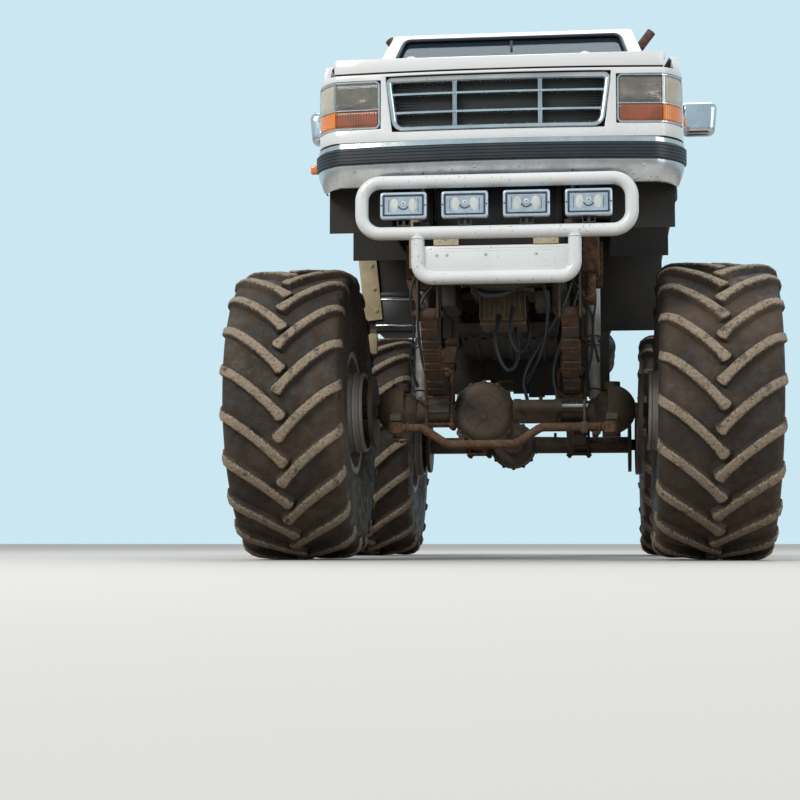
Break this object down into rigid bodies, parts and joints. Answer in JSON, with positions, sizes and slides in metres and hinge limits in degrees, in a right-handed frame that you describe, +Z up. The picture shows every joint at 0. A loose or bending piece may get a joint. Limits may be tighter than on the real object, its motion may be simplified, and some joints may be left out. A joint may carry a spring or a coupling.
{
  "type": "monster truck",
  "caption": "Lifted pickup on very large chevron-lug tyres, with a bull bar and driving lamps, opening doors, hood and tailgate, steered front wheels and turning wheels.",
  "frame": {"origin": "ground point under the middle of the length", "axes": "+Z up, -Y towards the nose, +X to the truck's own left side"},
  "size_m": [3.0786, 5.6659, 3.6723],
  "materials": {
    "white_paint": "gloss, dusty low down",
    "white_tube": "satin powder coat",
    "glass": "tinted",
    "chrome": "bright",
    "lamp_glass": "clear, ribbed",
    "amber_lens": "gloss",
    "red_lens": "gloss",
    "black_rubber": "matte",
    "frame_black": "oily, dusty",
    "cast_metal": "oily, dusty",
    "spring_steel": "dull, dusty",
    "rusty_steel": "rusty",
    "damper_white": "dusty",
    "box_black": "satin",
    "radiator_core": "dark",
    "seat_cloth": "woven",
    "dash_plastic": "grained",
    "rim_paint": "satin, dusty",
    "tyre_rubber": "dusty, muddy"
  },
  "bodies": {
    "truck": {"cab_shell": "white_paint", "cab_glass": "glass", "front_panel": "white_paint", "grille": "chrome", "headlamps": "lamp_glass", "turn_signals": "amber_lens", "fenders": "white_paint", "fender_liners": "black_rubber", "front_bumper": "chrome", "bumper_strip": "black_rubber", "bull_bar": "white_tube", "driving_lamps": "lamp_glass", "bed_box": "white_paint", "tail_lamps": "red_lens", "rear_bumper": "chrome", "chassis_frame": "frame_black", "leaf_springs": "spring_steel", "shock_absorbers": "damper_white", "front_axle": "frame_black", "rear_axle": "frame_black", "engine": "cast_metal", "gearbox": "cast_metal", "drive_shafts": "rusty_steel", "traction_bars": "rusty_steel", "exhaust_stacks": "rusty_steel", "side_box": "box_black", "grab_loops": "frame_black", "bench_seat": "seat_cloth", "dashboard": "dash_plastic", "radiator": "radiator_core"},
    "door_left": {"door_left": "white_paint", "door_glass_left": "glass", "mirror_left": "chrome"},
    "knuckle_left": {"knuckle_left": "frame_black"},
    "door_right": {"door_right": "white_paint", "door_glass_right": "glass", "mirror_right": "chrome"},
    "knuckle_right": {"knuckle_right": "frame_black"},
    "tie_rod": {"tie_rod": "rusty_steel"},
    "hood": {"hood": "white_paint"},
    "tailgate": {"tailgate": "white_paint"},
    "wheel_front_left": {"rim_front_left": "rim_paint", "tyre_front_left": "tyre_rubber"},
    "wheel_front_right": {"rim_front_right": "rim_paint", "tyre_front_right": "tyre_rubber"},
    "wheel_rear_left": {"rim_rear_left": "rim_paint", "tyre_rear_left": "tyre_rubber"},
    "wheel_rear_right": {"rim_rear_right": "rim_paint", "tyre_rear_right": "tyre_rubber"}
  },
  "joints": [
    {"name": "steer_left", "type": "hinge", "parent": "truck", "child": "knuckle_left", "pos_m": [0.6, -1.867, 0.84], "axis": [0, 0, 1], "range_deg": [-20, 20]},
    {"name": "steer_right", "type": "hinge", "parent": "truck", "child": "knuckle_right", "pos_m": [-0.6, -1.867, 0.84], "axis": [0, 0, 1], "range_deg": [-20, 20]},
    {"name": "tie_rod_eye", "type": "hinge", "parent": "knuckle_left", "child": "tie_rod", "pos_m": [0.6, -2.167, 0.736], "axis": [0, 0, 1], "range_deg": [-20, 20]},
    {"name": "spin_front_left", "type": "hinge", "parent": "knuckle_left", "child": "wheel_front_left", "pos_m": [1.175, -1.867, 0.84], "axis": [0.9997, 0, -0.0262], "continuous": true},
    {"name": "spin_rear_left", "type": "hinge", "parent": "truck", "child": "wheel_rear_left", "pos_m": [1.175, 1.533, 0.84], "axis": [1, 0, 0], "continuous": true},
    {"name": "door_left_hinge", "type": "hinge", "parent": "truck", "child": "door_left", "pos_m": [0.972, -1.147, 2.515], "axis": [0, 0, -1], "range_deg": [0, 60]},
    {"name": "spin_front_right", "type": "hinge", "parent": "knuckle_right", "child": "wheel_front_right", "pos_m": [-1.175, -1.867, 0.84], "axis": [0.9997, 0, 0.0262], "continuous": true},
    {"name": "spin_rear_right", "type": "hinge", "parent": "truck", "child": "wheel_rear_right", "pos_m": [-1.175, 1.533, 0.84], "axis": [1, 0, 0], "continuous": true},
    {"name": "door_right_hinge", "type": "hinge", "parent": "truck", "child": "door_right", "pos_m": [-0.972, -1.147, 2.515], "axis": [0, 0, 1], "range_deg": [0, 60]},
    {"name": "hood_hinge", "type": "hinge", "parent": "truck", "child": "hood", "pos_m": [0, -1.443, 2.787], "axis": [-1, 0, 0], "range_deg": [0, 45]},
    {"name": "tailgate_hinge", "type": "hinge", "parent": "truck", "child": "tailgate", "pos_m": [0, 2.501, 2.331], "axis": [-1, 0, 0], "range_deg": [0, 90]}
  ],
  "couplings": [
    {"joint": "steer_right", "follows": "steer_left", "ratio": 1},
    {"joint": "tie_rod_eye", "follows": "steer_left", "ratio": -1}
  ]
}
